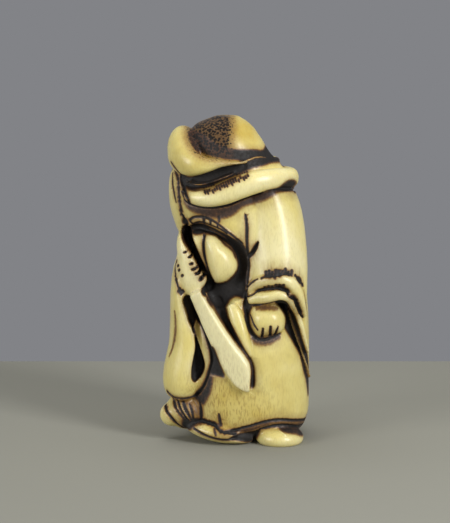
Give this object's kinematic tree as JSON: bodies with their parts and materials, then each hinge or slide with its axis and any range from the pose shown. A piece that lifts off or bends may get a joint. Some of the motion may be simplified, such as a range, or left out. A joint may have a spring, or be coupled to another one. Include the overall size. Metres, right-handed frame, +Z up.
{
  "type": "netsuke",
  "caption": "Carved toggle in the form of a standing figure in a soft hat, with a wide sleeve, a fist and a downturned blade, pierced behind for a cord",
  "frame": {"origin": "middle of the bounding box in plan, on the plane that the figure stands on", "axes": "+Z up along the figure; -Y faces the side with the blade and the fist; the figure looks towards -X"},
  "size_m": [0.0322, 0.0266, 0.0692],
  "materials": {
    "ivory": "polished ivory, warm cream to honey yellow, with brown to black stain in the recesses"
  },
  "bodies": {
    "root": {"netsuke": "ivory"}
  },
  "joints": []
}
